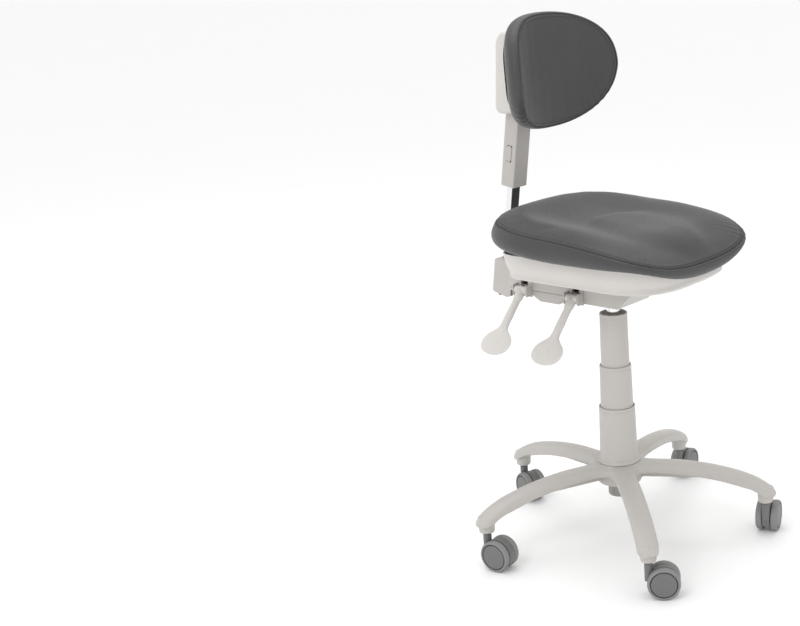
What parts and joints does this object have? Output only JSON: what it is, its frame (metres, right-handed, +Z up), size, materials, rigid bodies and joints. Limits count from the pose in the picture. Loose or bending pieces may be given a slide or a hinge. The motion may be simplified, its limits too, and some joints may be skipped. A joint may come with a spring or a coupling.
{
  "type": "dentist stool",
  "caption": "Dentist's stool: dished seat and small curved backrest in grey upholstery, sliding back bar, side levers, telescopic gas-lift column and a star base on twin-wheel casters.",
  "frame": {"origin": "on the floor, on the axis of the column", "axes": "+Z up; the sitter faces -Y; the levers are at -X, the sitter's right"},
  "size_m": [0.6642, 0.6163, 1.084],
  "materials": {
    "base_paint": "cast, warm light grey satin paint",
    "alloy_paint": "extruded, warm light grey satin paint",
    "steel_paint": "folded sheet, warm light grey satin paint",
    "grey_plastic": "moulded, warm light grey, fine texture",
    "pale_plastic": "moulded, off-white, satin",
    "caster_plastic": "moulded, mid grey with a softer tread",
    "dark_plastic": "moulded, black",
    "steel": "zinc plated",
    "dark_steel": "blackened",
    "chrome": "polished",
    "plywood": "raw birch plywood",
    "upholstery": "foam under dark grey coated upholstery with a fine grain"
  },
  "bodies": {
    "base": {"base_star": "base_paint", "column_tube": "steel", "guide_bush": "dark_plastic", "piston_rod": "steel", "thrust_bearing": "steel", "rod_clip": "steel", "cover_lower": "grey_plastic"},
    "middle_cover": {"cover_middle": "grey_plastic"},
    "lift": {"cover_upper": "grey_plastic", "cover_grip_ring": "pale_plastic"},
    "seat": {"gas_cylinder": "chrome", "cylinder_gland": "dark_plastic", "mech_housing": "steel_paint", "mech_cover": "grey_plastic", "height_lever_bracket": "steel_paint", "tilt_lever_bracket": "steel_paint", "tilt_pivot_pin": "steel", "tilt_spring": "steel", "seat_board": "plywood", "seat_shell": "pale_plastic", "seat_cushion": "upholstery"},
    "release_pin": {"release_pin": "steel"},
    "height_lever": {"height_lever": "pale_plastic", "release_arm": "steel"},
    "tilt_lever": {"tilt_lever": "pale_plastic", "tilt_lock_arm": "steel"},
    "back_support": {"bar_carrier": "steel", "back_bar": "steel", "bar_cover": "grey_plastic", "bar_cover_bolt": "dark_steel"},
    "backrest": {"back_sleeve": "alloy_paint", "back_shell": "pale_plastic", "back_board": "plywood", "back_cushion": "upholstery"},
    "back_button": {"back_button": "grey_plastic"},
    "caster_1_fork": {"caster_1_housing": "caster_plastic", "caster_1_stem": "steel", "caster_1_axle": "steel"},
    "caster_1_wheel_left": {"caster_1_wheel_left": "caster_plastic"},
    "caster_1_wheel_right": {"caster_1_wheel_right": "caster_plastic"},
    "caster_2_fork": {"caster_2_housing": "caster_plastic", "caster_2_stem": "steel", "caster_2_axle": "steel"},
    "caster_2_wheel_left": {"caster_2_wheel_left": "caster_plastic"},
    "caster_2_wheel_right": {"caster_2_wheel_right": "caster_plastic"},
    "caster_3_fork": {"caster_3_housing": "caster_plastic", "caster_3_stem": "steel", "caster_3_axle": "steel"},
    "caster_3_wheel_left": {"caster_3_wheel_left": "caster_plastic"},
    "caster_3_wheel_right": {"caster_3_wheel_right": "caster_plastic"},
    "caster_4_fork": {"caster_4_housing": "caster_plastic", "caster_4_stem": "steel", "caster_4_axle": "steel"},
    "caster_4_wheel_left": {"caster_4_wheel_left": "caster_plastic"},
    "caster_4_wheel_right": {"caster_4_wheel_right": "caster_plastic"},
    "caster_5_fork": {"caster_5_housing": "caster_plastic", "caster_5_stem": "steel", "caster_5_axle": "steel"},
    "caster_5_wheel_left": {"caster_5_wheel_left": "caster_plastic"},
    "caster_5_wheel_right": {"caster_5_wheel_right": "caster_plastic"}
  },
  "joints": [
    {"name": "gas_lift", "type": "slide", "parent": "base", "child": "lift", "axis": [0, 0, 1], "range_m": [-0.14, 0]},
    {"name": "middle_cover_slide", "type": "slide", "parent": "base", "child": "middle_cover", "axis": [0, 0, 1], "range_m": [-0.0705, 0.0005]},
    {"name": "seat_swivel", "type": "hinge", "parent": "lift", "child": "seat", "pos_m": [0, 0, 0.5], "axis": [0, 0, 1], "continuous": true},
    {"name": "height_lever_pivot", "type": "hinge", "parent": "seat", "child": "height_lever", "pos_m": [-0.064, 0.052, 0.522], "axis": [0, 1, 0], "range_deg": [0, 7], "stiffness_Nm_per_rad": 1.2, "springref_deg": -6.88},
    {"name": "release_pin_stroke", "type": "slide", "parent": "seat", "child": "release_pin", "axis": [0, 0, 1], "range_m": [-0.0079, 0.0001]},
    {"name": "tilt_lever_pivot", "type": "hinge", "parent": "seat", "child": "tilt_lever", "pos_m": [-0.064, 0.188, 0.522], "axis": [0, 1, 0], "range_deg": [0, 9], "stiffness_Nm_per_rad": 1.2, "springref_deg": -6.88},
    {"name": "back_tilt", "type": "hinge", "parent": "seat", "child": "back_support", "pos_m": [0, 0.262, 0.535], "axis": [-1, 0, 0], "range_deg": [-4, 18]},
    {"name": "back_height", "type": "slide", "parent": "back_support", "child": "backrest", "axis": [0, -0.165, 0.9863], "range_m": [-0.06, 0.04]},
    {"name": "back_button_press", "type": "slide", "parent": "backrest", "child": "back_button", "axis": [1, 0, 0], "range_m": [0, 0.002], "stiffness_N_per_m": 800, "springref_m": -0.0005},
    {"name": "caster_1_swivel", "type": "hinge", "parent": "base", "child": "caster_1_fork", "pos_m": [0.30038, 0.05839, 0.074], "axis": [0, 0, 1], "continuous": true},
    {"name": "caster_1_spin_left", "type": "hinge", "parent": "caster_1_fork", "child": "caster_1_wheel_left", "pos_m": [0.32844, 0.06334, 0.0325], "axis": [-0.1736, 0.9848, 0], "continuous": true},
    {"name": "caster_1_spin_right", "type": "hinge", "parent": "caster_1_fork", "child": "caster_1_wheel_right", "pos_m": [0.32844, 0.06334, 0.0325], "axis": [-0.1736, 0.9848, 0], "continuous": true},
    {"name": "caster_2_swivel", "type": "hinge", "parent": "base", "child": "caster_2_fork", "pos_m": [0.03729, 0.30372, 0.074], "axis": [0, 0, 1], "continuous": true},
    {"name": "caster_2_spin_left", "type": "hinge", "parent": "caster_2_fork", "child": "caster_2_wheel_left", "pos_m": [0.02801, 0.27677, 0.0325], "axis": [0.9455, -0.3256, 0], "continuous": true},
    {"name": "caster_2_spin_right", "type": "hinge", "parent": "caster_2_fork", "child": "caster_2_wheel_right", "pos_m": [0.02801, 0.27677, 0.0325], "axis": [0.9455, -0.3256, 0], "continuous": true},
    {"name": "caster_3_swivel", "type": "hinge", "parent": "base", "child": "caster_3_fork", "pos_m": [-0.27733, 0.12932, 0.074], "axis": [0, 0, 1], "continuous": true},
    {"name": "caster_3_spin_left", "type": "hinge", "parent": "caster_3_fork", "child": "caster_3_wheel_left", "pos_m": [-0.27435, 0.10098, 0.0325], "axis": [0.9945, 0.1045, 0], "continuous": true},
    {"name": "caster_3_spin_right", "type": "hinge", "parent": "caster_3_fork", "child": "caster_3_wheel_right", "pos_m": [-0.27435, 0.10098, 0.0325], "axis": [0.9945, 0.1045, 0], "continuous": true},
    {"name": "caster_4_swivel", "type": "hinge", "parent": "base", "child": "caster_4_fork", "pos_m": [-0.20869, -0.22379, 0.074], "axis": [0, 0, 1], "continuous": true},
    {"name": "caster_4_spin_left", "type": "hinge", "parent": "caster_4_fork", "child": "caster_4_wheel_left", "pos_m": [-0.19194, -0.24685, 0.0325], "axis": [0.809, 0.5878, 0], "continuous": true},
    {"name": "caster_4_spin_right", "type": "hinge", "parent": "caster_4_fork", "child": "caster_4_wheel_right", "pos_m": [-0.19194, -0.24685, 0.0325], "axis": [0.809, 0.5878, 0], "continuous": true},
    {"name": "caster_5_swivel", "type": "hinge", "parent": "base", "child": "caster_5_fork", "pos_m": [0.14835, -0.26763, 0.074], "axis": [0, 0, 1], "continuous": true},
    {"name": "caster_5_spin_left", "type": "hinge", "parent": "caster_5_fork", "child": "caster_5_wheel_left", "pos_m": [0.1753, -0.25836, 0.0325], "axis": [-0.3256, 0.9455, 0], "continuous": true},
    {"name": "caster_5_spin_right", "type": "hinge", "parent": "caster_5_fork", "child": "caster_5_wheel_right", "pos_m": [0.1753, -0.25836, 0.0325], "axis": [-0.3256, 0.9455, 0], "continuous": true}
  ],
  "couplings": [
    {"joint": "middle_cover_slide", "follows": "gas_lift", "ratio": 0.5},
    {"joint": "release_pin_stroke", "follows": "height_lever_pivot", "m_per_rad": -0.064}
  ]
}
